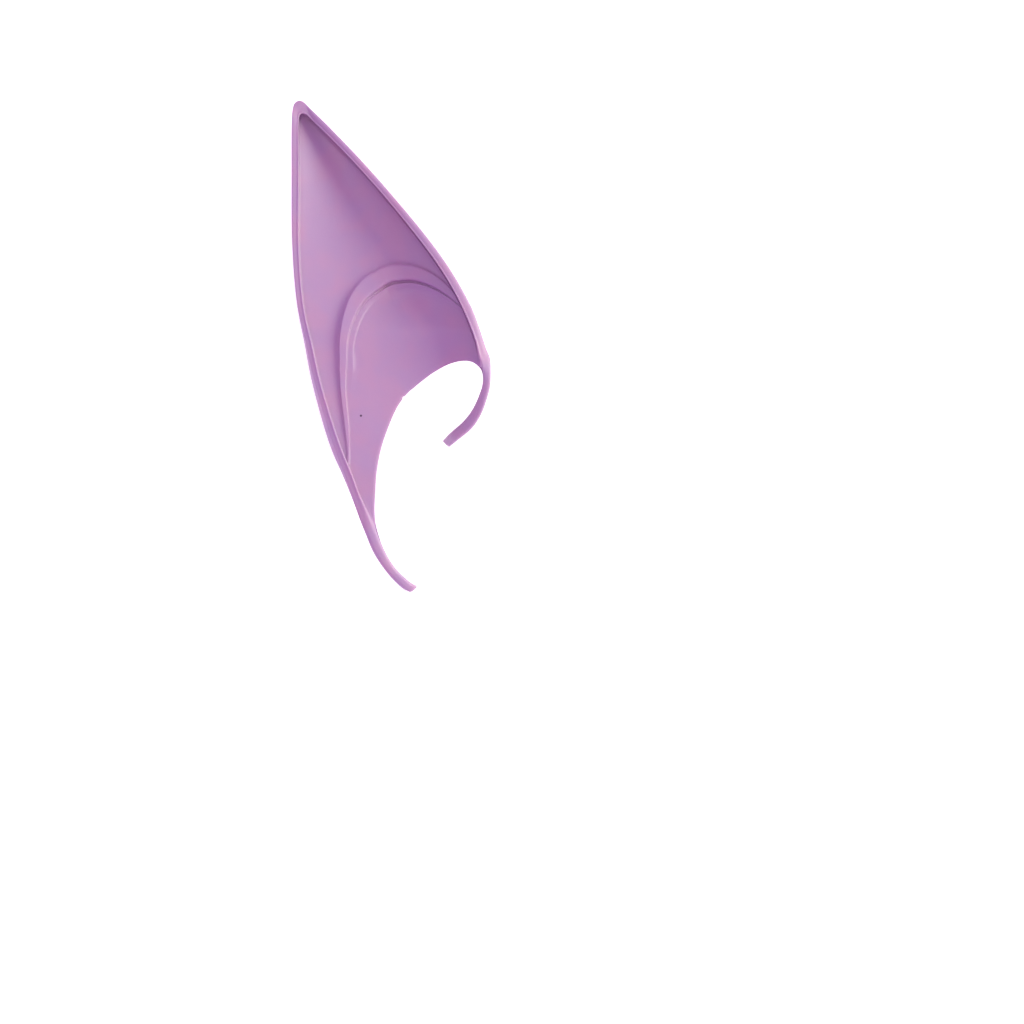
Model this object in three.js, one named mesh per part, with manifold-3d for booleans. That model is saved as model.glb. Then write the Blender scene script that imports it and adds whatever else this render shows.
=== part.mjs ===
// Elf ear tip: a hollow moulded shell of tinted latex that slips over the top of an ear.
// Millimetres. It lies on its back: +Z is the front with the scoop, +Y runs to the pointed tip and
// +X to the side of the upper hook. The origin is on the surface it rests on, under the middle of the part.
import * as THREE from 'three';
import { mergeVertices } from 'three/addons/utils/BufferGeometryUtils.js';
import Module from 'manifold-3d';

// Driving sizes.
const EAR_LENGTH = 120;
const EAR_WIDTH = 48.6;
const EAR_DEPTH = 22;
const WALL = 1.8;
const RIM_BREADTH = 2.2;
const RIM_DROP = 1.3;
const RIM_EDGE = 0.35;
const UNDERCUT = 0.8;
const SCOOP_DEPTH = 3;
const BOWL_DEPTH = 0.8;
const FOLD_HEIGHT = 1.5;
const BULGE = 0.9;
const BACK_LIP = 2.2;
const LIP_INSET = 1;
const REST_FLAT = 0.9;
const HOOK_THICKNESS = 2.4;
const LATEX_COLOUR = 0xb18bc4;

// Form of the back wall's curve: 2 is an ellipse, more is fuller.
const BACK_FULLNESS = 2.6;

// How far the scoop's deepest line leans to the right: 1 is the middle.
const SCOOP_LEAN = 1.2;

// How full the fold's ridge and the bowl's sag are: 1 is a sine, less is fuller.
const RIDGE_FULLNESS = 0.7;
const BOWL_LEAN = 0.7;

// The hooks' section is at most this many times as thick as its rib is long. The rim is at most this share of
// a rib, and the fold's two edges at most these shares of the way to the foot of the rim.
const ROD_SQUARENESS = 1.15;
const RIM_SHARE = 0.7;
const FOLD_INNER_SHARE = 0.9;
const FOLD_OUTER_SHARE = 0.95;

// Where each stretch of the outline runs round the hooks' section, in half turns from the lip over the top.
const ROD_TURNS = { front: [0.05, 0.45], rim: [0.5, 0.95], back: [1, 1.9] };

// Form of the pocket in a rib: how its points crowd towards its end, how blunt the end is, and its least gap.
const POCKET_CROWDING = 1.6;
const POCKET_BLUNTNESS = 8;
const POCKET_GAP = 0.3;

// Width that a slice is taken to have where its two sides meet.
const LEAST_WIDTH = 0.01;

// Steps of the mesh: sections from one row to the next, and points along each stretch of a section.
const ROW_STEPS = 3;
const BOWL_STEPS = 5;
const FOLD_STEPS = 4;
const SCOOP_STEPS = 7;
const RIM_STEPS = 4;
const BACK_STEPS = 13;
const POCKET_STEPS = 9;
const SIDE_STEPS = 8;

// Every section is a rib: an upright slice from the cut lip to the rim's outer edge. The ribs follow one
// another from the lower tail's end, up the left rim, over the tip and down the right rim to the hook's end.
// Stations count along them, and the tables below give each one's place and form at chosen stations.

// Where a rib runs: x as shares of the width from the left, y as shares of the length from the tail's end.
const PATH = table('at rim_x rim_y lip_x lip_y', [
  [0, 0.603, 0.000, 0.625, 0.006],
  [1, 0.561, 0.012, 0.584, 0.022],
  [2, 0.486, 0.041, 0.515, 0.050],
  [3, 0.419, 0.080, 0.456, 0.088],
  [4, 0.373, 0.121, 0.423, 0.130],
  [5, 0.338, 0.157, 0.416, 0.165],
  [6, 0.301, 0.197, 0.420, 0.202],
  [7, 0.266, 0.240, 0.426, 0.241],
  [8, 0.220, 0.288, 0.446, 0.287],
  [9, 0.173, 0.347, 0.479, 0.330],
  [10, 0.114, 0.431, 0.536, 0.375],
  [11, 0.075, 0.503, 0.576, 0.403],
  [12, 0.028, 0.594, 0.614, 0.419],
  [13, 0.004, 0.716, 0.644, 0.428],
  [14, 0.001, 0.868, 0.672, 0.436],
  [15, 0.001, 0.957, 0.689, 0.439],
  [16, 0.007, 0.986, 0.699, 0.441],
  [17, 0.019, 0.996, 0.705, 0.442],
  [18, 0.040, 1.000, 0.712, 0.444],
  [19, 0.063, 0.996, 0.718, 0.445],
  [20, 0.093, 0.984, 0.727, 0.447],
  [21, 0.201, 0.941, 0.744, 0.451],
  [22, 0.356, 0.874, 0.767, 0.456],
  [23, 0.531, 0.793, 0.794, 0.462],
  [24, 0.694, 0.712, 0.822, 0.467],
  [25, 0.805, 0.647, 0.845, 0.469],
  [26, 0.894, 0.582, 0.867, 0.471],
  [27, 0.942, 0.533, 0.890, 0.470],
  [28, 0.974, 0.498, 0.916, 0.465],
  [29, 0.995, 0.476, 0.942, 0.455],
  [30, 1.000, 0.450, 0.956, 0.444],
  [31, 0.992, 0.409, 0.953, 0.414],
  [32, 0.954, 0.365, 0.917, 0.376],
  [33, 0.905, 0.334, 0.870, 0.347],
  [34, 0.834, 0.310, 0.805, 0.323],
  [35, 0.792, 0.297, 0.765, 0.308],
]);

// The rim: its top and its step down to the scoop as shares of the depth, then in multiples of named sizes its
// breadth along the rib, its undercut and how far the back wall bulges past it. Last is the rib's share of
// plain rod.
const RIM = table('at top step breadth undercut bulge rod', [
  [0, 0.11, 0.00, 0.50, 0.0, 0.0, 1],
  [2, 0.20, 0.00, 0.50, 0.0, 0.0, 1],
  [4, 0.37, 0.01, 0.60, 0.0, 0.0, 0.9],
  [6, 0.53, 0.03, 0.80, 0.0, 0.6, 0.15],
  [8, 0.64, 0.05, 0.75, 0.0, 1.0, 0],
  [10, 0.71, 0.05, 0.80, 0.0, 1.0, 0],
  [12, 0.73, 0.05, 0.85, 0.1, 0.3, 0],
  [14, 0.63, 0.06, 1.30, 0.2, 0.0, 0],
  [16, 0.54, 0.10, 1.65, 0.4, 0.0, 0],
  [18, 0.53, 0.14, 2.20, 0.9, 0.0, 0],
  [20, 0.56, 0.18, 2.60, 1.6, 0.0, 0],
  [22, 0.71, 0.27, 2.35, 1.8, 0.0, 0],
  [24, 0.90, 0.33, 2.50, 1.8, 0.0, 0],
  [26, 0.99, 0.27, 2.00, 1.3, 0.0, 0],
  [28, 0.99, 0.14, 1.30, 0.4, 0.0, 0.15],
  [30, 0.88, 0.02, 0.60, 0.0, 0.0, 1],
  [32, 0.57, 0.00, 0.50, 0.0, 0.0, 1],
  [34, 0.28, 0.00, 0.50, 0.0, 0.0, 1],
  [35, 0.13, 0.00, 0.50, 0.0, 0.0, 1],
]);

// The raised inner fold: its two edges as shares of the rib from the lip, and its height in fold heights.
const FOLD = table('at inner outer height', [
  [0, 0.60, 0.66, 0.0],
  [7, 0.62, 0.74, 0.0],
  [8, 0.61, 0.73, 0.2],
  [9, 0.58, 0.70, 0.4],
  [10, 0.56, 0.68, 0.6],
  [12, 0.53, 0.63, 0.9],
  [13, 0.48, 0.565, 1.0],
  [14, 0.39, 0.465, 1.0],
  [15, 0.35, 0.41, 1.0],
  [17, 0.333, 0.393, 1.0],
  [19, 0.336, 0.397, 1.0],
  [21, 0.372, 0.444, 1.0],
  [22, 0.426, 0.507, 1.0],
  [23, 0.505, 0.602, 0.9],
  [24, 0.60, 0.70, 0.7],
  [25, 0.66, 0.75, 0.3],
  [26, 0.62, 0.70, 0.0],
  [35, 0.60, 0.66, 0.0],
]);

// The moulding before its mouth is cut, in slices up the ear: the back wall's lowest line as shares of the
// depth, and how deep the scoop sags in scoop depths. The stations here are shares of the length.
const SLICE = table('at keel sag', [
  [0.00, 0.05, 0.0],
  [0.13, 0.26, 0.0],
  [0.20, 0.24, 0.1],
  [0.29, 0.11, 0.3],
  [0.38, 0.02, 0.6],
  [0.50, 0.00, 0.9],
  [0.75, 0.00, 1.0],
  [0.86, 0.04, 0.8],
  [0.93, 0.12, 0.5],
  [0.98, 0.27, 0.2],
  [1.00, 0.40, 0.0],
]);

// Where the right side of the uncut moulding would run below the hook, with the heights of its rim and foot,
// as shares of the width, the length and the depth.
const UNCUT_SIDE = table('x y top foot', [
  [0.42, 0.00, 0.11, 0.11],
  [0.45, 0.13, 0.36, 0.34],
  [0.60, 0.19, 0.50, 0.46],
  [0.80, 0.26, 0.70, 0.56],
  [0.95, 0.36, 0.88, 0.68],
]);

// The pocket between the walls: how far it reaches along the rib.
const POCKET = table('at reach', [
  [5.6, 0.30],
  [7, 0.60],
  [9, 0.80],
  [12, 0.88],
  [14, 0.88],
  [18, 0.85],
  [21, 0.84],
  [24, 0.76],
  [26, 0.58],
  [27.6, 0.34],
]);

function table(header, rows) {
  const names = header.split(' ');
  return rows.map((row) => Object.fromEntries(names.map((name, k) => [name, row[k]])));
}

// Value of every column of a table at a station, on a smooth curve through its rows.
function sample(rows, at) {
  const last = rows.length - 1;
  const clamped = THREE.MathUtils.clamp(at, rows[0].at, rows[last].at);
  const start = Math.min(rows.findLastIndex((row) => row.at <= clamped), last - 1);
  const [before, from, to, after] = [start - 1, start, start + 1, start + 2]
    .map((k) => rows[THREE.MathUtils.clamp(k, 0, last)]);
  const span = to.at - from.at;
  const f = (clamped - from.at) / span;
  const values = {};
  for (const name of Object.keys(from)) {
    const startSlope = ((to[name] - before[name]) / (to.at - before.at)) * span;
    const endSlope = ((after[name] - from[name]) / (after.at - from.at)) * span;
    values[name] = from[name] * (2 * f ** 3 - 3 * f ** 2 + 1) + startSlope * (f ** 3 - 2 * f ** 2 + f)
      + to[name] * (3 * f ** 2 - 2 * f ** 3) + endSlope * (f ** 3 - f ** 2);
  }
  return values;
}

// All that one rib needs, in millimetres.
function ribAt(at) {
  const path = sample(PATH, at);
  const form = sample(RIM, at);
  const fold = sample(FOLD, at);
  const lip = new THREE.Vector2(path.lip_x * EAR_WIDTH, path.lip_y * EAR_LENGTH);
  const rim = new THREE.Vector2(path.rim_x * EAR_WIDTH, path.rim_y * EAR_LENGTH);
  const length = rim.distanceTo(lip);
  const breadth = Math.min(form.breadth * RIM_BREADTH, length * RIM_SHARE);
  return {
    lip,
    rim,
    along: rim.clone().sub(lip).normalize(),
    length,
    inside: length - breadth,
    rimTop: form.top * EAR_DEPTH,
    foot: (form.top - form.step) * EAR_DEPTH,
    undercut: Math.max(0, form.undercut) * UNDERCUT,
    bulge: Math.max(0, form.bulge) * BULGE,
    rod: THREE.MathUtils.clamp(form.rod, 0, 1),
    foldInner: fold.inner,
    foldOuter: fold.outer,
    foldHeight: Math.max(0, fold.height) * FOLD_HEIGHT,
  };
}

// A side of the uncut moulding, from the bottom up, as a list of places with the heights of rim and foot.
function sideLine(from, to) {
  return steps(from, to, Math.abs(to - from) * SIDE_STEPS).concat(to).map((at) => {
    const rib = ribAt(at);
    return { x: rib.rim.x, y: rib.rim.y, top: rib.rimTop, foot: rib.foot };
  });
}

// Place and heights on a side line at a distance up the ear.
function sideAt(line, y) {
  const above = line.findIndex((place) => place.y > y);
  if (above <= 0) {
    return above === 0 ? line[0] : line.at(-1);
  }
  const [low, high] = [line[above - 1], line[above]];
  const f = (y - low.y) / (high.y - low.y);
  return Object.fromEntries(Object.keys(low).map((key) => [key, THREE.MathUtils.lerp(low[key], high[key], f)]));
}

// Where a point lies in its slice of the uncut moulding: its share of the way across, and the heights there.
function sliceAt(x, y) {
  const left = sideAt(LEFT_SIDE, y);
  const right = sideAt(RIGHT_SIDE, y);
  const across = THREE.MathUtils.clamp((x - left.x) / Math.max(right.x - left.x, LEAST_WIDTH), 0, 1);
  const { keel, sag } = sample(SLICE, y / EAR_LENGTH);
  return {
    across,
    top: THREE.MathUtils.lerp(left.top, right.top, across),
    foot: THREE.MathUtils.lerp(left.foot, right.foot, across),
    keel: keel * EAR_DEPTH,
    sag: sag * SCOOP_DEPTH,
  };
}

function pointOn(rib, distance) {
  return [rib.lip.x + rib.along.x * distance, rib.lip.y + rib.along.y * distance];
}

// Height of the scoop's and bowl's floor, without the fold, at a distance along the rib.
function floorHeight(rib, distance) {
  const slice = sliceAt(...pointOn(rib, distance));
  const scoop = slice.foot - slice.sag * Math.sin(Math.PI * slice.across ** SCOOP_LEAN);
  const intoBowl = THREE.MathUtils.clamp(1 - distance / (rib.length * rib.foldInner), 0, 1);
  return scoop - BOWL_DEPTH * (rib.foldHeight / FOLD_HEIGHT) * Math.sin(Math.PI * intoBowl ** BOWL_LEAN);
}

// Height the fold adds at a distance along the rib: a rounded ridge between its two edges.
function foldRise(rib, distance) {
  const across = (distance / rib.length - rib.foldInner) / (rib.foldOuter - rib.foldInner);
  if (across <= 0 || across >= 1) {
    return 0;
  }
  return rib.foldHeight * Math.sin(Math.PI * across) ** RIDGE_FULLNESS;
}

// Height of the back wall's outer face at a distance along the rib: full below, upright at the rim, flattened
// where it rests, and curled up a little at the lip.
function backHeight(rib, distance) {
  const slice = sliceAt(...pointOn(rib, distance));
  const aside = Math.abs(2 * slice.across - 1);
  const depth = (1 - aside ** BACK_FULLNESS) ** (1 / BACK_FULLNESS);
  const side = (slice.top - RIM_DROP - slice.keel) * (1 - depth);
  const curl = BACK_LIP * (1 - distance / rib.length) ** 3;
  return Math.max(0, slice.keel + side + curl - REST_FLAT * depth ** 2);
}

function steps(from, to, count) {
  return Array.from({ length: count }, (_, k) => from + ((to - from) * k) / count);
}

// The rib's outline as a shell, as [distance from the lip, height] pairs: over the front, the rim and the back.
function shellOutline(rib) {
  const { length, inside, rimTop } = rib;
  const floorEnd = inside + rib.undercut;
  const inner = Math.min(rib.foldInner * length, floorEnd * FOLD_INNER_SHARE);
  const outer = Math.min(rib.foldOuter * length, floorEnd * FOLD_OUTER_SHARE);
  const places = [
    ...steps(0, inner, BOWL_STEPS),
    ...steps(inner, outer, FOLD_STEPS),
    ...steps(outer, floorEnd, SCOOP_STEPS),
    floorEnd,
  ];
  const front = places.map((place) => [place, floorHeight(rib, place) + foldRise(rib, place)]);
  const rim = [...steps(0, 1, RIM_STEPS), 1].map((f) => [
    inside + RIM_EDGE + (length - inside - RIM_EDGE) * Math.sin((f * Math.PI) / 2),
    rimTop - RIM_DROP * (1 - Math.cos((f * Math.PI) / 2)),
  ]);
  const back = [...steps(0, 1, BACK_STEPS), 1].slice(1).map((f) => {
    const share = Math.cos((f * Math.PI) / 2) ** (2 / BACK_FULLNESS);
    const place = LIP_INSET + (length - LIP_INSET) * share;
    return [place + rib.bulge * Math.sin(f * Math.PI), backHeight(rib, place)];
  });
  return { front, rim: [[inside, rimTop - RIM_EDGE], ...rim], back };
}

// The same number of points round a plain rod, starting at the lip's side and going over the top.
function rodOutline(rib, stretch, from, to) {
  const middle = rib.length / 2;
  const thickness = Math.min(HOOK_THICKNESS, rib.length * ROD_SQUARENESS);
  return stretch.map((_, k) => {
    const turn = Math.PI * THREE.MathUtils.lerp(from, to, k / (stretch.length - 1));
    return [
      middle - middle * Math.cos(turn),
      rib.rimTop - (thickness / 2) * (1 - Math.sin(turn)),
    ];
  });
}

// The closed outline of a rib, shell and rod mixed by its share of rod.
function ribOutline(rib) {
  const shell = shellOutline(rib);
  return Object.keys(ROD_TURNS).flatMap((stretch) => {
    const rod = rodOutline(rib, shell[stretch], ...ROD_TURNS[stretch]);
    return shell[stretch].map(([s, z], k) => [
      THREE.MathUtils.lerp(s, rod[k][0], rib.rod),
      THREE.MathUtils.lerp(z, rod[k][1], rib.rod),
    ]);
  });
}

// Upright thickness of a wall that is as thick as the others across its own slope.
function wallHeight(surface, rib, distance) {
  const slope = (surface(rib, distance + WALL / 2) - surface(rib, distance - WALL / 2)) / WALL;
  return WALL * Math.hypot(1, slope);
}

// The pocket's outline in a rib: a wall's thickness under the front and above the back, open past the lip.
function pocketOutline(rib, reach) {
  const depth = rib.length * reach;
  const halves = [...steps(0, 1, POCKET_STEPS)].map((f) => {
    const share = 1 - (1 - f) ** POCKET_CROWDING;
    const s = depth * share;
    const roof = floorHeight(rib, s) - wallHeight(floorHeight, rib, s);
    const ground = backHeight(rib, s) + wallHeight(backHeight, rib, s);
    const half = Math.max(POCKET_GAP / 2, (roof - ground) / 2) * Math.sqrt(1 - share ** POCKET_BLUNTNESS);
    return { s, middle: (roof + ground) / 2, half };
  });
  const roofLine = halves.map(({ s, middle, half }) => [s, middle + half]);
  const groundLine = halves.map(({ s, middle, half }) => [s, middle - half]).reverse();
  const mouth = [[-WALL, groundLine.at(-1)[1]], [-WALL, roofLine[0][1]]];
  return [mouth[1], ...roofLine, [depth, halves.at(-1).middle], ...groundLine, mouth[0]];
}

// Places a rib's outline in space.
function placeOutline(rib, outline) {
  return outline.map(([s, z]) => [rib.lip.x + rib.along.x * s, rib.lip.y + rib.along.y * s, z]);
}

// A closed body through rings of equally many points, its two ends closed round their middles.
function loft(rings) {
  const count = rings[0].length;
  const middle = (ring) => [0, 1, 2].map((axis) => ring.reduce((sum, point) => sum + point[axis], 0) / count);
  const positions = [...rings.flat(), middle(rings[0]), middle(rings.at(-1))].flat();
  const firstMiddle = rings.length * count;
  const lastRing = (rings.length - 1) * count;
  const index = [];
  for (let k = 0; k < count; k += 1) {
    const next = (k + 1) % count;
    for (let ring = 0; ring < lastRing; ring += count) {
      index.push(ring + k, ring + count + k, ring + next);
      index.push(ring + next, ring + count + k, ring + count + next);
    }
    index.push(firstMiddle, k, next);
    index.push(firstMiddle + 1, lastRing + next, lastRing + k);
  }
  const geometry = new THREE.BufferGeometry();
  geometry.setAttribute('position', new THREE.Float32BufferAttribute(positions, 3));
  geometry.setIndex(index);
  return geometry;
}

// The outer body, hooks and shell in one, before the pocket is hollowed out.
function bodyGeometry() {
  const last = PATH.at(-1).at;
  const stations = [...steps(0, last, last * ROW_STEPS), last];
  return loft(stations.map((at) => {
    const rib = ribAt(at);
    return placeOutline(rib, ribOutline(rib));
  }));
}

// The hollow between the walls.
function pocketGeometry() {
  const from = POCKET[0].at;
  const to = POCKET.at(-1).at;
  const stations = [...steps(from, to, Math.round((to - from) * 2)), to];
  return loft(stations.map((at) => {
    const rib = ribAt(at);
    return placeOutline(rib, pocketOutline(rib, sample(POCKET, at).reach));
  }));
}

function toSolid(wasm, geometry) {
  const merged = mergeVertices(geometry);
  return new wasm.Manifold(new wasm.Mesh({
    numProp: 3,
    vertProperties: new Float32Array(merged.attributes.position.array),
    triVerts: new Uint32Array(merged.index.array),
  }));
}

function toGeometry(solid) {
  const { vertProperties, triVerts } = solid.getMesh();
  const geometry = new THREE.BufferGeometry();
  geometry.setAttribute('position', new THREE.BufferAttribute(vertProperties, 3));
  geometry.setIndex(new THREE.BufferAttribute(triVerts, 1));
  return geometry;
}

// Moves the part so that the middle of its outline, on the surface it rests on, is the origin.
function seatOnOrigin(geometry) {
  geometry.computeBoundingBox();
  const { min, max } = geometry.boundingBox;
  geometry.translate(-(min.x + max.x) / 2, -(min.y + max.y) / 2, -min.z);
  return geometry;
}

const tip = PATH.findIndex((row) => row.rim_y === 1);
const hookRoot = RIM.find((row) => row.at > tip && row.rod === 1).at - 1;
const LEFT_SIDE = sideLine(0, tip);
const RIGHT_SIDE = [
  ...UNCUT_SIDE.map((place) => ({
    x: place.x * EAR_WIDTH,
    y: place.y * EAR_LENGTH,
    top: place.top * EAR_DEPTH,
    foot: place.foot * EAR_DEPTH,
  })),
  ...sideLine(hookRoot, tip),
];

const wasm = await Module();
wasm.setup();

const shell = toSolid(wasm, bodyGeometry()).subtract(toSolid(wasm, pocketGeometry()));
const earTip = new THREE.Mesh(
  seatOnOrigin(toGeometry(shell)),
  new THREE.MeshStandardMaterial({ color: LATEX_COLOUR, roughness: 0.5, metalness: 0 }),
);
earTip.name = 'ear_tip';

const part = new THREE.Group();
part.add(earTip);

export default part;
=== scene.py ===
import math

import bpy
import numpy as np
from bpy.props import FloatProperty, FloatVectorProperty, IntProperty, PointerProperty
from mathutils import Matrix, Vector


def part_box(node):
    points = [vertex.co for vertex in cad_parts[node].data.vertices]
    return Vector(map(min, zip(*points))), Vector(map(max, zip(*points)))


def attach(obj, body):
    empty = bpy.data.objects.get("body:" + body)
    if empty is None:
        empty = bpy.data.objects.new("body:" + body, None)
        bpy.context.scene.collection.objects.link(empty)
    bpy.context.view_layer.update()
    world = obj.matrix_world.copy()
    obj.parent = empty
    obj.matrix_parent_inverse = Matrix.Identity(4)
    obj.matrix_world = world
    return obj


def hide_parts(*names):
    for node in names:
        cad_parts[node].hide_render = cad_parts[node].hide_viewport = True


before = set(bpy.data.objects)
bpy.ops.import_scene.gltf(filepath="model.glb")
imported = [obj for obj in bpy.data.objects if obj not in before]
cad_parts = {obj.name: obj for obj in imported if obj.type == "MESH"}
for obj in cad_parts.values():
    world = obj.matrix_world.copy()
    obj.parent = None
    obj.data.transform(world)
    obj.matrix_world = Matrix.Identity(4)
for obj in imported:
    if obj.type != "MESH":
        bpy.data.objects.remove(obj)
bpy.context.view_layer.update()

bl_info = {
    "name": "Elf Ear Tip",
    "version": (1, 0, 0),
    "blender": (4, 5, 0),
    "location": "View3D > Sidebar > Ear Tip",
    "description": "Moulded latex elf ear tip with a hollow for the wearer's ear",
    "category": "Add Mesh",
}

EAR_LOW, EAR_HIGH = (np.array(corner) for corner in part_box("ear_tip"))
EAR_SIZE = EAR_HIGH - EAR_LOW


# Tables

# Every section is a rib: an upright slice from the cut lip to the rim's outer edge. The ribs follow one
# another from the lower tail's end, up the left rim, over the tip, down the right rim, to the upper
# hook's end. "at" is the station along them.

def table(header, rows):
    """Rows of numbers as one array for each named column."""
    return dict(zip(header.split(), np.array(rows, dtype=float).T))


# Where a rib runs: x as shares of the width from the left, y as shares of the length from the tail's end. The
# rim's breadth along the rib is in multiples of a named size.
PATH = table("at rim_x rim_y lip_x lip_y breadth", [
    (0, 0.588, 0.001, 0.620, 0.0140, 0.65),
    (1, 0.546, 0.011, 0.584, 0.0238, 0.65),
    (2, 0.479, 0.039, 0.516, 0.0510, 0.65),
    (3, 0.412, 0.079, 0.462, 0.0880, 0.76),
    (4, 0.368, 0.121, 0.426, 0.1300, 0.94),
    (5, 0.334, 0.157, 0.416, 0.1650, 1.14),
    (6, 0.301, 0.197, 0.420, 0.2020, 1.18),
    (7, 0.266, 0.240, 0.426, 0.2410, 1.12),
    (8, 0.220, 0.288, 0.446, 0.2870, 1.07),
    (9, 0.173, 0.347, 0.480, 0.3300, 1.03),
    (10, 0.114, 0.431, 0.528, 0.3750, 1.06),
    (11, 0.075, 0.503, 0.578, 0.4032, 1.13),
    (12, 0.028, 0.594, 0.614, 0.4160, 1.26),
    (13, 0.004, 0.716, 0.644, 0.4262, 1.52),
    (14, 0.001, 0.868, 0.672, 0.4350, 1.94),
    (15, 0.001, 0.957, 0.689, 0.4402, 2.05),
    (16, 0.007, 0.986, 0.699, 0.4432, 1.86),
    (17, 0.019, 0.996, 0.705, 0.4449, 1.86),
    (18, 0.040, 1.000, 0.712, 0.4467, 2.36),
    (19, 0.063, 0.996, 0.718, 0.4482, 3.12),
    (20, 0.093, 0.984, 0.727, 0.4503, 3.04),
    (21, 0.201, 0.941, 0.744, 0.4544, 2.90),
    (22, 0.359, 0.874, 0.767, 0.4594, 2.80),
    (23, 0.535, 0.793, 0.794, 0.4642, 2.74),
    (24, 0.698, 0.712, 0.822, 0.4678, 2.66),
    (25, 0.810, 0.647, 0.845, 0.4696, 2.64),
    (26, 0.899, 0.582, 0.867, 0.4704, 2.42),
    (27, 0.946, 0.533, 0.890, 0.4698, 1.84),
    (28, 0.974, 0.498, 0.914, 0.4666, 1.60),
    (29, 0.995, 0.476, 0.941, 0.4576, 1.46),
    (30, 1.000, 0.450, 0.957, 0.4460, 1.32),
    (30.5, 0.999, 0.430, 0.960, 0.4320, 1.25),
    (31, 0.992, 0.409, 0.953, 0.4140, 1.18),
    (32, 0.955, 0.365, 0.914, 0.3768, 1.20),
    (33, 0.905, 0.334, 0.864, 0.3492, 1.18),
    (34, 0.834, 0.310, 0.798, 0.3258, 1.12),
    (35, 0.793, 0.297, 0.761, 0.3106, 1.10),
])

# The rim: its top and its step down to the scoop as shares of the depth, then in multiples of named sizes
# its fall to the outer edge, its undercut and how far the back wall bulges past it, and the rib's share
# of plain rod.
RIM = table("at top step fall undercut bulge rod", [
    (0, 0.11, 0.00, 0.40, 0.0, 0.0, 1),
    (2, 0.20, 0.00, 0.40, 0.0, 0.0, 1),
    (3, 0.28, 0.00, 0.40, 0.0, 0.0, 1),
    (4, 0.37, 0.01, 0.25, 0.0, 0.0, 0.8),
    (5, 0.45, 0.02, 0.18, 0.0, 0.0, 0.3),
    (6, 0.53, 0.03, 0.15, 0.0, 0.2, 0),
    (7, 0.59, 0.04, 0.12, 0.0, 0.6, 0),
    (8, 0.64, 0.05, 0.12, 0.0, 0.9, 0),
    (9, 0.68, 0.05, 0.12, 0.0, 1.0, 0),
    (10, 0.71, 0.05, 0.12, 0.0, 0.9, 0),
    (11, 0.73, 0.05, 0.12, 0.0, 0.7, 0),
    (12, 0.73, 0.05, 0.12, 0.1, 0.4, 0),
    (13, 0.69, 0.05, 0.14, 0.1, 0.2, 0),
    (14, 0.63, 0.06, 0.16, 0.2, 0.1, 0),
    (16, 0.54, 0.10, 0.25, 0.4, 0.0, 0),
    (18, 0.53, 0.14, 0.35, 0.9, 0.0, 0),
    (20, 0.56, 0.18, 0.50, 1.4, 0.0, 0),
    (22, 0.71, 0.27, 0.70, 1.5, 0.0, 0),
    (24, 0.90, 0.33, 0.80, 1.5, 0.0, 0),
    (26, 0.99, 0.27, 0.80, 1.2, 0.0, 0),
    (28, 0.99, 0.14, 0.80, 0.4, 0.0, 0.05),
    (29, 0.95, 0.06, 0.80, 0.1, 0.0, 0.4),
    (30, 0.88, 0.02, 0.80, 0.0, 0.0, 0.9),
    (31, 0.74, 0.00, 0.80, 0.0, 0.0, 1),
    (32, 0.57, 0.00, 0.80, 0.0, 0.0, 1),
    (34, 0.28, 0.00, 0.80, 0.0, 0.0, 1),
    (35, 0.13, 0.00, 0.80, 0.0, 0.0, 1),
])

# The raised inner fold: its two edges as shares of the rib from the lip. It rises from the scoop and
# drops to the bowl, over tails as shares of its own breadth, with a crease at the foot of the drop, and a
# second drop follows further in. Heights are in multiples of a named size.
FOLD = table("at inner outer rise rise_tail drop drop_tail second crease", [
    (0, 0.800, 0.860, 0, 0.45, 0, 0.08, 0, 0),
    (6.6, 0.880, 0.940, 0.05, 0.45, 0.1, 0.08, 0, 0),
    (7.3, 0.790, 0.850, 0.25, 0.45, 0.25, 0.08, 0, 0),
    (8, 0.683, 0.730, 0.35, 0.2, 0.4, 0.08, 0, 0),
    (9, 0.633, 0.695, 0.55, 0.22, 0.5, 0.08, 0, 0),
    (10, 0.620, 0.679, 0.75, 0.28, 0.5, 0.07, 0.03, 0),
    (11, 0.602, 0.668, 1.05, 0.38, 0.5, 0.07, 0.22, 0),
    (12, 0.566, 0.628, 1.35, 0.42, 0.55, 0.07, 0.32, 0),
    (13, 0.496, 0.564, 1.3, 0.34, 0.8, 0.1, 0.22, 0.15),
    (14, 0.400, 0.464, 1, 0.22, 1.5, 0.3, 0.03, 0.5),
    (15, 0.350, 0.405, 0.9, 0.14, 2, 0.42, 0, 0.8),
    (16, 0.337, 0.388, 0.8, 0.12, 2.2, 0.45, 0, 1),
    (17, 0.333, 0.385, 0.75, 0.12, 2.2, 0.45, 0, 1.1),
    (18, 0.332, 0.384, 0.75, 0.12, 2.2, 0.45, 0, 1.1),
    (19, 0.336, 0.388, 0.75, 0.12, 2.2, 0.45, 0, 1.1),
    (20, 0.343, 0.397, 0.75, 0.12, 2.2, 0.45, 0, 1.1),
    (21, 0.372, 0.434, 0.75, 0.12, 2.1, 0.42, 0, 1.1),
    (22, 0.426, 0.497, 0.7, 0.12, 1.9, 0.38, 0, 1.05),
    (23, 0.505, 0.594, 0.65, 0.12, 1.6, 0.32, 0, 0.95),
    (24, 0.598, 0.701, 0.5, 0.12, 1.2, 0.25, 0, 0.75),
    (25, 0.688, 0.777, 0.35, 0.12, 0.8, 0.2, 0, 0.4),
    (26, 0.800, 0.880, 0.15, 0.12, 0.4, 0.18, 0, 0),
    (35, 0.800, 0.880, 0, 0.12, 0, 0.18, 0, 0),
])

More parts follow.
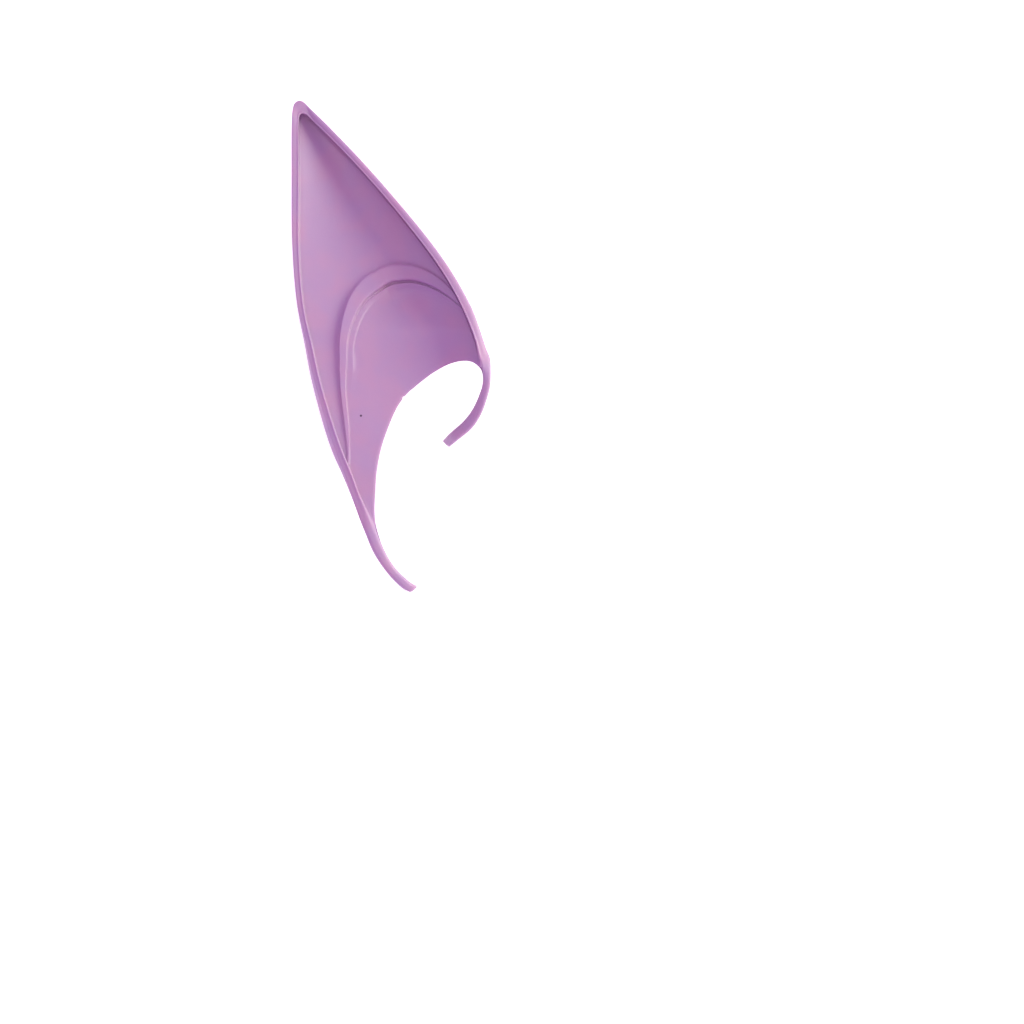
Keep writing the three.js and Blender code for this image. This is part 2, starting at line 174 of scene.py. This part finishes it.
# The moulding before its mouth is cut, in slices up the ear: the back wall's lowest line as shares of the
# depth, and how deep the scoop sags in scoop depths. The stations here are shares of the length.
SLICE = table("at keel sag", [
    (0.00, 0.05, 0.0),
    (0.13, 0.26, 0.0),
    (0.20, 0.24, 0.1),
    (0.29, 0.11, 0.3),
    (0.38, 0.02, 0.6),
    (0.50, 0.00, 0.9),
    (0.75, 0.00, 1.0),
    (0.86, 0.04, 0.8),
    (0.93, 0.12, 0.5),
    (0.98, 0.27, 0.2),
    (1.00, 0.40, 0.0),
])

# Where the right side of the uncut moulding would run below the hook. The stations are shares of the
# length. x is a share of the width, its rim and foot are shares of the depth.
UNCUT_SIDE = table("at x top fall foot", [
    (0.00, 0.42, 0.11, 0.4, 0.11),
    (0.13, 0.45, 0.36, 0.5, 0.34),
    (0.19, 0.60, 0.50, 0.7, 0.46),
    (0.27, 0.80, 0.72, 0.8, 0.57),
    (0.36, 0.92, 0.88, 0.9, 0.67),
    (0.45, 0.96, 0.97, 1.0, 0.75),
])

# The pocket between the walls: how far it reaches along the rib, and how far it is open.
POCKET = table("at reach open", [
    (5.2, 0.05, 0.0),
    (5.8, 0.32, 0.7),
    (7, 0.60, 1),
    (9, 0.80, 1),
    (12, 0.88, 1),
    (14, 0.88, 1),
    (18, 0.85, 1),
    (21, 0.84, 1),
    (24, 0.76, 1),
    (26, 0.58, 1),
    (27.5, 0.34, 0.8),
    (28.2, 0.05, 0.0),
])

# The crease at the foot of the fold: its middle and half its breadth, in breadths of the fold.
CREASE_PLACE = -0.13
CREASE_BREADTH = 0.09

TIP_STATION = 18
NICK_STATION = 10.7
HOOK_ROOT_STATION = 27


# Settings a user would change

def shares(text):
    """The red, green and blue of an sRGB hex value as shares of the brightest."""
    return tuple(int(text[k:k + 2], 16) / 255 for k in (1, 3, 5))


class EarTipShape(bpy.types.PropertyGroup):
    """Sizes of the moulded shell."""

    length: FloatProperty(
        name="Length", description="From the tail's end to the pointed tip",
        default=float(EAR_SIZE[1]), unit="LENGTH")
    width: FloatProperty(
        name="Width", description="Across the blade and the upper hook",
        default=float(EAR_SIZE[0]), unit="LENGTH")
    depth: FloatProperty(
        name="Depth", description="From the surface it lies on to the top of the rim",
        default=float(EAR_SIZE[2]), unit="LENGTH")
    wall: FloatProperty(
        name="Wall", description="Thickness of the latex walls", default=0.0018, unit="LENGTH")
    rim_breadth: FloatProperty(
        name="Rim Breadth", description="Breadth of the rolled rim", default=0.0017, unit="LENGTH")
    rim_drop: FloatProperty(
        name="Rim Drop", description="Fall of the rim from its inner to its outer edge",
        default=0.0013, unit="LENGTH")
    rim_edge: FloatProperty(
        name="Rim Edge", description="Rounding of the rim's inner edge", default=0.00035, unit="LENGTH")
    bead: FloatProperty(
        name="Bead", description="Height of the fine bead along the rim's inner edge",
        default=0.00016, unit="LENGTH")
    gutter: FloatProperty(
        name="Gutter", description="Depth of the crease where the scoop meets the rim",
        default=0.00045, unit="LENGTH")
    undercut: FloatProperty(
        name="Undercut", description="How far the scoop runs in under the rim", default=0.0008, unit="LENGTH")
    scoop: FloatProperty(
        name="Scoop Sag", description="How deep the scoop's floor sags", default=0.003, unit="LENGTH")
    scoop_lean: FloatProperty(
        name="Scoop Lean", description="How far the scoop's deepest line leans to the right", default=1.2)
    fold: FloatProperty(
        name="Fold Height", description="Height of the inner fold over the bowl",
        default=0.0011, unit="LENGTH")
    fold_spacing: FloatProperty(
        name="Fold Spacing", description="From the fold's inner edge to the second, fainter one inside it",
        default=0.002, unit="LENGTH")
    fold_reach: FloatProperty(
        name="Fold Reach", description="How far into the bowl the fold's form is felt", default=0.0085,
        unit="LENGTH")
    bulge: FloatProperty(
        name="Bulge", description="How far the back wall stands out past the rim",
        default=0.0013, unit="LENGTH")
    back_fullness: FloatProperty(
        name="Back Fullness", description="Form of the back wall's curve: 2 is an ellipse, more is fuller",
        default=2.6)
    back_lip: FloatProperty(
        name="Back Lip", description="How far the back wall curls up at its lip",
        default=0.0022, unit="LENGTH")
    lip_inset: FloatProperty(
        name="Lip Inset", description="How far the back lip lies behind the front one",
        default=0.001, unit="LENGTH")
    rest_flat: FloatProperty(
        name="Rest Flat", description="How far the soft back is pressed flat where it rests",
        default=0.0009, unit="LENGTH")
    hook: FloatProperty(
        name="Hook Thickness", description="Thickness of the hook and the tail",
        default=0.0024, unit="LENGTH")
    rod_corner: FloatProperty(
        name="Rod Corner", description="Form of the hook's section: 1 is an ellipse, less is squarer",
        default=0.72)
    lip_round: FloatProperty(
        name="Lip Rounding", description="How far the cut lip's upper edge is worn down",
        default=0.00022, unit="LENGTH")
    nick: FloatProperty(
        name="Nick", description="Depth of the small nick where two cuts of the lip meet",
        default=0.0003, unit="LENGTH")
    end_round: FloatProperty(
        name="End Rounding",
        description="How far the ends of the hook and the tail round out, as a share of their radius",
        default=0.7)
    sections: IntProperty(
        name="Sections", description="Number of ribs in the mesh", default=400, min=60)


class EarTipFinish(bpy.types.PropertyGroup):
    """Colours of the tinted latex."""

    latex: FloatVectorProperty(
        name="Latex", description="Main colour of the tinted latex", subtype="COLOR_GAMMA", size=3,
        default=shares("#c4aabc"))
    rosy: FloatVectorProperty(
        name="Rosy Cloud", description="Where the tint leans to pink", subtype="COLOR_GAMMA", size=3,
        default=shares("#c8aaba"))
    bluish: FloatVectorProperty(
        name="Bluish Cloud", description="Where the tint leans to blue", subtype="COLOR_GAMMA", size=3,
        default=shares("#bfaabe"))
    roughness: FloatProperty(name="Roughness", description="Satin sheen of the latex", default=0.42)
    # the pinhole is shown only as a dark spot of painted shade in the latex colour
    pinhole: FloatVectorProperty(
        name="Pinhole", description="Where a trapped air bubble left a pinhole in the front", subtype="XYZ",
        unit="LENGTH", size=3, default=(-0.00735, -0.01694, 0.0137))


class EarTipStage(bpy.types.PropertyGroup):
    """Camera, light and floor."""

    frame_width: FloatProperty(
        name="Frame Width", description="Width of the view at the object", default=0.24975, unit="LENGTH")
    focus: FloatProperty(
        name="Measured Height", description="Height over the floor at which the view has its width",
        default=float(EAR_SIZE[2]) / 2, unit="LENGTH")
    distance: FloatProperty(
        name="Camera Distance", description="Height of the camera over the floor", default=3.0, unit="LENGTH")
    key: FloatProperty(name="Key Light", description="Power of the soft light from the right", default=8.0)
    top: FloatProperty(name="Top Light", description="Power of the soft light from above", default=15.0)
    fill: FloatProperty(name="Fill Light", description="Strength of the light from all round", default=0.668)


# Curves through the tables

def sample(rows, at):
    """Every column of a table at stations: a cubic curve through the rows, whose slope at a row is that of
    the line between its two neighbours."""
    stations = rows["at"]
    last = len(stations) - 1
    at = np.clip(at, stations[0], stations[last])
    start = np.clip(np.searchsorted(stations, at, side="right") - 1, 0, last - 1)
    before, after = np.maximum(start - 1, 0), np.minimum(start + 2, last)
    span = stations[start + 1] - stations[start]
    f = (at - stations[start]) / span
    values = {}
    for name, column in rows.items():
        slope_in = (column[start + 1] - column[before]) / (stations[start + 1] - stations[before]) * span
        slope_out = (column[after] - column[start]) / (stations[after] - stations[start]) * span
        values[name] = (
            column[start] * (2 * f**3 - 3 * f**2 + 1) + slope_in * (f**3 - 2 * f**2 + f)
            + column[start + 1] * (3 * f**2 - 2 * f**3) + slope_out * (f**3 - f**2))
    return values


def lerp(a, b, f):
    """The mix of two values: a where f is 0, b where it is 1."""
    return a + (b - a) * f


def soft_step(value, low, high):
    """0 below low and 1 above high, with the S curve 3f^2 - 2f^3 between."""
    f = np.clip((value - low) / (high - low), 0, 1)
    return f * f * (3 - 2 * f)


class Ribs:
    """All that the ribs at the given stations need, in metres, as arrays with one row for each rib."""

    def __init__(self, at, shape):
        size = np.array([shape.width, shape.length])
        path, rim, fold = (sample(rows, at) for rows in (PATH, RIM, FOLD))
        self.at = at
        self.lip = np.stack([path["lip_x"], path["lip_y"]], axis=-1) * size
        self.rim = np.stack([path["rim_x"], path["rim_y"]], axis=-1) * size
        span = self.rim - self.lip
        uncut = np.linalg.norm(span, axis=-1)
        self.along = span / uncut[..., None]
        cut = shape.nick * np.exp(-(((at - NICK_STATION) / 0.1) ** 2))
        self.lip += self.along * cut[..., None]
        self.length = uncut - cut
        self.inside = self.length - np.minimum(path["breadth"] * shape.rim_breadth, self.length * 0.75)
        self.fall = rim["fall"] * shape.rim_drop
        self.top = rim["top"] * shape.depth
        self.foot = (rim["top"] - rim["step"]) * shape.depth
        self.undercut = np.maximum(rim["undercut"], 0) * shape.undercut
        self.bulge = np.maximum(rim["bulge"], 0) * shape.bulge
        self.rod = np.clip(rim["rod"], 0, 1)
        self.fold = {name: np.maximum(column, 0)[:, None] for name, column in fold.items()}

    def column(self, name):
        """One of the rib's values as a column, ready to spread over the points of each rib."""
        return getattr(self, name)[:, None]


class Moulding:
    """The uncut moulding: its two sides, from the bottom up, and what they give at any point between them."""

    def __init__(self, shape):
        self.shape = shape
        left = self.side(Ribs(np.linspace(0, TIP_STATION, 181), shape))
        right = self.side(Ribs(np.linspace(HOOK_ROOT_STATION, TIP_STATION, 91), shape))
        scales = {
            "at": shape.length,
            "x": shape.width,
            "top": shape.depth,
            "fall": shape.rim_drop,
            "foot": shape.depth,
        }
        right = {name: np.concatenate([UNCUT_SIDE[name] * scales[name], right[name]]) for name in scales}
        self.sides = (left, right)

    def side(self, ribs):
        """The rim's line as a table of x and heights at y."""
        x, y = ribs.rim.T
        return {"at": y, "x": x, "top": ribs.top, "fall": ribs.fall, "foot": ribs.foot}

    def slice(self, x, y):
        """Share of the way across the slice at y, and the heights there, mixed between its two sides."""
        sides = [sample(side, y) for side in self.sides]
        across = np.clip((x - sides[0]["x"]) / np.maximum(sides[1]["x"] - sides[0]["x"], 1e-5), 0, 1)
        heights = sample(SLICE, y / self.shape.length)
        return {
            "across": across,
            "edge": lerp(sides[0]["top"] - sides[0]["fall"], sides[1]["top"] - sides[1]["fall"], across),
            "foot": lerp(sides[0]["foot"], sides[1]["foot"], across),
            "keel": heights["keel"] * self.shape.depth,
            "sag": heights["sag"] * self.shape.scoop,
        }

    def point(self, ribs, distance):
        """x and y at distances along the ribs: lip + direction * distance."""
        return tuple(ribs.lip[:, k, None] + ribs.along[:, k, None] * distance for k in (0, 1))

    def floor(self, ribs, distance):
        """Height of the scoop's floor: foot - sag * sin(pi * across^lean)."""
        slices = self.slice(*self.point(ribs, distance))
        return slices["foot"] - slices["sag"] * np.sin(np.pi * slices["across"] ** self.shape.scoop_lean)

    def fold_place(self, ribs, distance):
        """Way across the fold: 0 at its inner edge, 1 at its outer one."""
        fold = ribs.fold
        return (distance / ribs.column("length") - fold["inner"]) / (fold["outer"] - fold["inner"])

    def fold_height(self, ribs, distance):
        """Height of the fold and of the bowl inside it over the floor.

        Past either edge of the fold the height falls by 1 - e^-(way over the tail), so both edges are crisp.
        A second small drop follows inside it. All of it fades towards the lip by e^-(gap / reach)^2."""
        shape, fold = self.shape, ribs.fold
        v = self.fold_place(ribs, distance)
        rise = fold["rise"] * np.exp(-np.maximum(v - 1, 0) / fold["rise_tail"])
        drop = fold["drop"] * (1 - np.exp(np.minimum(v, 0) / fold["drop_tail"]))
        gap = np.maximum(fold["inner"] * ribs.column("length") - distance, 0)
        second = fold["second"] * soft_step(gap / shape.fold_spacing, 0.9, 1.1)
        return shape.fold * (rise - drop - second) * np.exp(-((gap / shape.fold_reach) ** 2))

    def grooves(self, ribs, distance):
        """Depth of the crease at the foot of the fold, the gutter under the rim and the worn edge of the lip:
        bell curves e^-x^2 and a parabola at the lip."""
        shape = self.shape
        past_crease = (self.fold_place(ribs, distance) - CREASE_PLACE) / CREASE_BREADTH
        crease = shape.fold * ribs.fold["crease"] * np.exp(-(past_crease**2))
        under_rim = np.maximum(ribs.column("inside") - distance, 0) / shape.rim_breadth
        undercut = np.minimum(ribs.column("undercut") / shape.undercut, 1)
        gutter = shape.gutter * undercut * np.exp(-((under_rim * 4) ** 2))
        return crease + gutter + shape.lip_round * np.clip(1 - distance / (3.5 * shape.lip_round), 0, 1) ** 2

    def back(self, ribs, distance):
        """Height of the back wall's outer face: a superellipse across the slice, full below and upright at
        the rim, less a flattened patch where it rests, plus a curl (1 - share)^3 at the lip."""
        shape = self.shape
        slices = self.slice(*self.point(ribs, distance))
        aside = np.abs(2 * slices["across"] - 1)
        depth = (1 - aside**shape.back_fullness) ** (1 / shape.back_fullness)
        side = (slices["edge"] - slices["keel"]) * (1 - depth)
        curl = shape.back_lip * np.clip(1 - distance / ribs.column("length"), 0, 1) ** 3
        return np.maximum(0, slices["keel"] + side + curl - shape.rest_flat * depth**2)

    def wall_height(self, surface, ribs, distance):
        """Upright thickness of a wall that is one wall thick across its own slope."""
        step = self.shape.wall / 2
        slope = (surface(ribs, distance + step) - surface(ribs, distance - step)) / self.shape.wall
        return self.shape.wall * np.hypot(1, slope)


# Outline of a rib, as arrays of distance from the lip and height, one row for each rib

def stretches(bounds, counts):
    """Places spread evenly over each stretch between neighbouring bounds, without the last bound."""
    parts = [lerp(bounds[:, k:k + 1], bounds[:, k + 1:k + 2], np.arange(count) / count)
             for k, count in enumerate(counts)]
    return np.concatenate(parts, axis=1)


def front_line(mould, ribs):
    """The floor with the fold's relief, from the lip to the foot of the rim, denser along the fold."""
    end = ribs.inside + ribs.undercut
    inner = np.minimum(ribs.fold["inner"][:, 0] * ribs.length, end * 0.80)
    outer = np.minimum(ribs.fold["outer"][:, 0] * ribs.length, end * 0.88)
    breadth = outer - inner
    bounds = np.stack([
        np.zeros_like(end),
        np.minimum(0.0008, inner * 0.2),
        np.maximum(inner - 1.1 * breadth, inner * 0.4),
        inner - 0.25 * breadth,
        inner,
        outer,
        np.minimum(outer + 0.9 * breadth, end * 0.95),
        end,
    ], axis=1)
    places = np.concatenate([stretches(bounds, (5, 13, 13, 9, 9, 13, 22)), end[:, None]], axis=1)
    return places, mould.floor(ribs, places) + mould.fold_height(ribs, places) - mould.grooves(ribs, places)


def rim_line(mould, ribs):
    """The rim: up its inner side, round its edge with a fine bead, and over the top as a quarter ellipse."""
    shape = mould.shape
    inside, top, length = (ribs.column(name) for name in ("inside", "top", "length"))
    foot = mould.floor(ribs, inside + ribs.column("undercut"))
    rise = np.linspace(0, 1, 9)[1:-1]
    side = (lerp(inside + ribs.column("undercut"), inside, rise), lerp(foot, top - shape.rim_edge, rise))
    turn = np.linspace(0, np.pi / 2, 6)
    edge = (inside + shape.rim_edge * (1 - np.cos(turn)), top - shape.rim_edge * (1 - np.sin(turn)))
    over = np.pi / 2 * np.linspace(0, 1, 25)[1:] ** 1.3
    start = inside + shape.rim_edge
    crest = (start + (length - start) * np.sin(over), top - ribs.column("fall") * (1 - np.cos(over)))
    distance, height = (np.concatenate([side[k], edge[k], crest[k]], axis=1) for k in (0, 1))
    past = (distance - start) / shape.rim_edge
    bead = shape.bead * (np.exp(-(past**2)) - 0.12 * np.exp(-(((past - 2.4) / 1.3) ** 2)))
    return distance, height + bead * (height > top - 1.01 * shape.rim_edge)


def back_line(mould, ribs):
    """The outer side and the back wall, from the rim to the back lip, closer together at both ends."""
    shape = mould.shape
    f = np.linspace(0, 1, 56)[1:]
    share = np.cos(f * np.pi / 2) ** (2 / shape.back_fullness)
    places = shape.lip_inset + (ribs.column("length") - shape.lip_inset) * share
    return places + ribs.column("bulge") * np.sin(np.sqrt(f) * np.pi), mould.back(ribs, places)


def pocket_line(mould, ribs):
    """The hollow: in along the back wall's inner face, round its end, and out under the front wall.

    Both faces lie about the middle height between the walls, at half the gap * sqrt(1 - share^8)."""
    pocket = sample(POCKET, ribs.at)
    reach = np.clip(pocket["reach"], 0.02, 1)[:, None]
    opened = np.clip(pocket["open"], 0, 1)[:, None]
    share = 1 - (1 - np.linspace(0, 1, 28)) ** 1.6
    distance = ribs.column("length") * reach * share
    roof = (mould.floor(ribs, distance) + mould.fold_height(ribs, distance)
            - mould.wall_height(mould.floor, ribs, distance))
    ground = mould.back(ribs, distance) + mould.wall_height(mould.back, ribs, distance)
    half = np.maximum(0.00005, (roof - ground) / 2) * np.sqrt(np.maximum(0, 1 - share**8)) * opened
    middle = (roof + ground) / 2
    inset = mould.shape.lip_inset * (1 - share) ** 4
    lower = (distance + inset, middle - half)
    upper = (distance, middle + half)
    return (np.concatenate([lower[0], upper[0][:, ::-1]], axis=1),
            np.concatenate([lower[1], upper[1][:, ::-1]], axis=1))


def rod_line(mould, ribs, count, from_turn, to_turn):
    """The same number of points round a plain rod: a superellipse, with sign(cos) |cos|^p and
    sign(sin) |sin|^p in place of the cosine and sine, from the lip's side over the top."""
    length = ribs.column("length")
    thickness = np.minimum(mould.shape.hook, length * 1.15)
    turn = np.pi * np.linspace(from_turn, to_turn, count)
    waves = (np.cos(turn), np.sin(turn))
    aside, up = (np.sign(wave) * np.abs(wave) ** mould.shape.rod_corner for wave in waves)
    return length / 2 * (1 - aside), ribs.column("top") - thickness / 2 * (1 - up)


def rib_outline(mould, ribs):
    """The closed outline of each rib, shell and rod mixed by the rib's share of rod."""
    lines = [
        (front_line(mould, ribs), 0.02, 0.14),
        (rim_line(mould, ribs), 0.15, 0.98),
        (back_line(mould, ribs), 1.0, 1.88),
        (pocket_line(mould, ribs), 1.90, 2.03),
    ]
    rod = ribs.column("rod")
    distance, height = [], []
    for (line_distance, line_height), from_turn, to_turn in lines:
        rod_distance, rod_height = rod_line(mould, ribs, line_distance.shape[1], from_turn, to_turn)
        distance.append(lerp(line_distance, rod_distance, rod))
        height.append(lerp(line_height, rod_height, rod))
    return np.concatenate(distance, axis=1), np.concatenate(height, axis=1)


# Meshes

def station_places(shape):
    """Stations spread so that the rims' outer edge and the lip's edge are cut into about equal lengths."""
    fine = np.linspace(PATH["at"][0], PATH["at"][-1], 4000)
    ribs = Ribs(fine, shape)
    steps = [np.linalg.norm(np.diff(line, axis=0), axis=1) for line in (ribs.rim, ribs.lip)]
    walked = np.concatenate([[0], np.cumsum(steps[0] + steps[1])])
    return np.interp(np.linspace(0, walked[-1], shape.sections), walked, fine)


def add_ends(points, end_round):
    """Closes both ends of a tube of rings with smaller rings, each further out: size cos(t)^0.5,
    shift sin(t)."""
    turn = np.radians((20, 40, 58, 74, 89))[:, None, None]

    def end(ring, inner_ring):
        middle = ring.mean(axis=0)
        out = middle - inner_ring.mean(axis=0)
        radius = np.linalg.norm(ring - middle, axis=1).mean()
        out = out / np.linalg.norm(out) * radius * end_round
        return middle + (ring - middle) * np.cos(turn) ** 0.5 + out * np.sin(turn)

    return np.concatenate([end(points[0], points[2])[::-1], points, end(points[-1], points[-3])], axis=0)


def tube_mesh(name, points):
    """Mesh of a grid of points whose rows are closed rings, with a cap on each end ring."""
    rings, count = points.shape[:2]
    k = np.arange(count)
    start = np.arange(rings - 1)[:, None] * count
    after = (k + 1) % count
    quads = np.stack([start + k, start + count + k, start + count + after, start + after], axis=-1)
    faces = quads.reshape(-1, 4).tolist()
    faces.append(k.tolist())
    faces.append(((rings - 1) * count + k[::-1]).tolist())
    mesh = bpy.data.meshes.new(name)
    mesh.from_pydata(points.reshape(-1, 3), [], faces)
    mesh.validate()
    mesh.polygons.foreach_set("use_smooth", np.ones(len(mesh.polygons), dtype=bool))
    mesh.update()
    return mesh


def add_piece(name, mesh):
    """Puts a mesh into the scene as an object at the origin."""
    piece = bpy.data.objects.new(name, mesh)
    bpy.context.scene.collection.objects.link(piece)
    return piece


# Materials

def linear(colour):
    """An sRGB hex value, or sRGB shares, as linear light with alpha 1."""
    if isinstance(colour, str):
        colour = shares(colour)
    return tuple(c / 12.92 if c <= 0.04045 else ((c + 0.055) / 1.055) ** 2.4 for c in colour) + (1.0,)


def add_node(tree, kind, settings=(), links=()):
    """Adds a node, sets its attributes or sockets by name, and links its sockets from others."""
    node = tree.nodes.new(kind)
    for name, value in dict(settings).items():
        if isinstance(name, str) and hasattr(node, name):
            setattr(node, name, value)
        else:
            node.inputs[name].default_value = value
    for name, source in dict(links).items():
        tree.links.new(source, node.inputs[name])
    return node


def tinted_latex(finish):
    """Natural latex, tinted lilac and cast in a plaster mould: satin, faintly cloudy, and a little light
    passes in."""
    material = bpy.data.materials.new("Tinted moulded latex")
    material.use_nodes = True
    tree = material.node_tree
    tree.nodes.clear()
    place = add_node(tree, "ShaderNodeTexCoord").outputs["Object"]
    # clouds about 8 mm across, where the tint settled unevenly
    cloud = add_node(tree, "ShaderNodeTexNoise", {"Scale": 1 / 0.008, "Detail": 2.0, "Roughness": 0.5},
                     {"Vector": place})
    rosy = add_node(tree, "ShaderNodeMapRange", {"From Min": 0.40, "From Max": 0.68, "To Max": 0.9},
                    {"Value": cloud.outputs["Fac"]})
    bluish = add_node(tree, "ShaderNodeMapRange", {"From Min": 0.58, "From Max": 0.32, "To Max": 0.9},
                      {"Value": cloud.outputs["Fac"]})
    colours = {"data_type": "RGBA", 6: linear(finish.latex), 7: linear(finish.rosy)}
    warm = add_node(tree, "ShaderNodeMix", colours, {0: rosy.outputs["Result"]})
    tint = add_node(tree, "ShaderNodeMix", {"data_type": "RGBA", 7: linear(finish.bluish)},
                    {0: bluish.outputs["Result"], 6: warm.outputs[2]})
    # painted shade of a pit: a dark spot about 0.7 mm across where a trapped air bubble left a pinhole, which
    # the shape itself does not have
    bubble = add_node(tree, "ShaderNodeVectorMath", {"operation": "DISTANCE", 1: finish.pinhole}, {0: place})
    pit_shade = add_node(tree, "ShaderNodeMapRange", {"From Min": 0.00044, "From Max": 0.00030},
                    {"Value": bubble.outputs["Value"]})
    tint_with_pit_shade = add_node(tree, "ShaderNodeMix", {"data_type": "RGBA", 7: linear("#200a14")},
                       {0: pit_shade.outputs["Result"], 6: tint.outputs[2]})
    # pores of the plaster mould, 0.5 mm apart, and a slow waviness of the soft wall
    pores = add_node(tree, "ShaderNodeTexNoise", {"Scale": 1 / 0.0005, "Detail": 3.0}, {"Vector": place})
    waves = add_node(tree, "ShaderNodeTexNoise", {"Scale": 1 / 0.009, "Detail": 1.0}, {"Vector": place})
    fine = add_node(tree, "ShaderNodeBump", {"Strength": 0.12, "Distance": 0.0001},
                    {"Height": pores.outputs["Fac"]})
    bump = add_node(tree, "ShaderNodeBump", {"Strength": 0.25, "Distance": 0.0006},
                    {"Height": waves.outputs["Fac"], "Normal": fine.outputs["Normal"]})
    shader = add_node(tree, "ShaderNodeBsdfPrincipled", {
        "Roughness": finish.roughness,
        "IOR": 1.52,
        "Specular IOR Level": 0.42,
        "Subsurface Weight": 0.25,
        "Subsurface Radius": (1.0, 0.55, 0.9),
        "Subsurface Scale": 0.0015,
    }, {"Base Color": tint_with_pit_shade.outputs[2], "Normal": bump.outputs["Normal"]})
    add_node(tree, "ShaderNodeOutputMaterial", links={"Surface": shader.outputs["BSDF"]})
    return material


def light_table():
    """Opal acrylic of a light table: matt white and softly lit from below, so shadows on it stay pale."""
    material = bpy.data.materials.new("Opal acrylic light table")
    material.use_nodes = True
    shader = material.node_tree.nodes["Principled BSDF"]
    shader.inputs["Base Color"].default_value = linear("#f4f4f4")
    shader.inputs["Roughness"].default_value = 0.9
    shader.inputs["Specular IOR Level"].default_value = 0.1
    shader.inputs["Emission Color"].default_value = linear("#ffffff")
    shader.inputs["Emission Strength"].default_value = 0.65
    return material


# Operators

class EARTIP_OT_shell(bpy.types.Operator):
    """Make the moulded shell with its rim, scoop, fold, pocket and hooks"""

    bl_idname = "eartip.shell"
    bl_label = "Moulded Shell"

    def execute(self, context):
        shape = context.scene.ear_tip_shape
        mould = Moulding(shape)
        ribs = Ribs(station_places(shape), shape)
        distance, height = rib_outline(mould, ribs)
        x, y = mould.point(ribs, distance)
        points = add_ends(np.stack([x, y, height], axis=-1), shape.end_round)
        low, high = points.min(axis=(0, 1)), points.max(axis=(0, 1))
        points += [-(low[0] + high[0]) / 2, -(low[1] + high[1]) / 2, 0]
        piece = add_piece("moulded_shell", tube_mesh("moulded_shell", points))
        piece.data.materials.append(tinted_latex(context.scene.ear_tip_finish))
        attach(piece, "root")
        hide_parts("ear_tip")
        return {"FINISHED"}


# The photographed view: the picture's side in pixels, and where the ear tip's middle is in it.
PICTURE_SIDE = 1024
EAR_MIDDLE_PX = (391.3, 346.4)


class EARTIP_OT_stage(bpy.types.Operator):
    """Set up the floor, the soft light from the right and the camera straight above"""

    bl_idname = "eartip.stage"
    bl_label = "Stage"

    def execute(self, context):
        stage = context.scene.ear_tip_stage
        self.add_floor()
        self.add_lights(context, stage)
        self.add_camera(context, stage)
        context.scene.view_settings.view_transform = "Standard"
        return {"FINISHED"}

    def add_floor(self):
        half = 1.5
        mesh = bpy.data.meshes.new("floor")
        corners = [(-half, -half), (half, -half), (half, half), (-half, half)]
        # a hair below the part, which would flicker with it otherwise
        mesh.from_pydata([(x, y, -0.0002) for x, y in corners], [], [(0, 1, 2, 3)])
        floor = add_piece("floor", mesh)
        mesh.materials.append(light_table())

    def add_light(self, context, name, place, size, power, colour):
        light = bpy.data.lights.new(name, "AREA")
        light.color = linear(colour)[:3]
        light.size = size
        light.energy = power
        lamp = bpy.data.objects.new(name, light)
        lamp.location = place
        lamp.rotation_euler = (-Vector(place)).to_track_quat("-Z", "Y").to_euler()
        context.scene.collection.objects.link(lamp)

    def add_lights(self, context, stage):
        self.add_light(context, "soft_key", (0.90, 0.12, 0.45), 0.6, stage.key, "#f8ffec")
        self.add_light(context, "top_fill", (-0.4, 0.5, 3.2), 1.6, stage.top, "#fffefa")
        world = bpy.data.worlds.new("lilac_bounce")
        world.use_nodes = True
        background = world.node_tree.nodes["Background"]
        background.inputs["Color"].default_value = linear("#e6a9ff")
        background.inputs["Strength"].default_value = stage.fill
        context.scene.world = world

    def add_camera(self, context, stage):
        metres_per_px = stage.frame_width / PICTURE_SIDE
        half = PICTURE_SIDE / 2
        camera = bpy.data.cameras.new("camera")
        camera.sensor_width = 36
        camera.lens = camera.sensor_width * (stage.distance - stage.focus) / stage.frame_width
        camera.clip_end = 10
        holder = bpy.data.objects.new("camera", camera)
        holder.location = (
            (half - EAR_MIDDLE_PX[0]) * metres_per_px,
            (EAR_MIDDLE_PX[1] - half) * metres_per_px,
            stage.distance,
        )
        context.scene.collection.objects.link(holder)
        context.scene.camera = holder


class EARTIP_PT_panel(bpy.types.Panel):
    """Lists the ear tip's settings and operators"""

    bl_idname = "EARTIP_PT_panel"
    bl_label = "Elf Ear Tip"
    bl_space_type = "VIEW_3D"
    bl_region_type = "UI"
    bl_category = "Ear Tip"

    def draw(self, context):
        scene = context.scene
        for settings in (scene.ear_tip_shape, scene.ear_tip_finish, scene.ear_tip_stage):
            box = self.layout.box()
            for name in settings.bl_rna.properties.keys():
                if name not in {"rna_type", "name"}:
                    box.prop(settings, name)
        for operator in (EARTIP_OT_shell, EARTIP_OT_stage):
            self.layout.operator(operator.bl_idname)


CLASSES = (EarTipShape, EarTipFinish, EarTipStage, EARTIP_OT_shell, EARTIP_OT_stage, EARTIP_PT_panel)


def register():
    for cls in CLASSES:
        bpy.utils.register_class(cls)
    bpy.types.Scene.ear_tip_shape = PointerProperty(type=EarTipShape)
    bpy.types.Scene.ear_tip_finish = PointerProperty(type=EarTipFinish)
    bpy.types.Scene.ear_tip_stage = PointerProperty(type=EarTipStage)


def unregister():
    del bpy.types.Scene.ear_tip_stage
    del bpy.types.Scene.ear_tip_finish
    del bpy.types.Scene.ear_tip_shape
    for cls in reversed(CLASSES):
        bpy.utils.unregister_class(cls)


def main():
    """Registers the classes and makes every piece."""
    register()
    bpy.ops.eartip.shell()
    bpy.ops.eartip.stage()


if __name__ == "__main__":
    main()
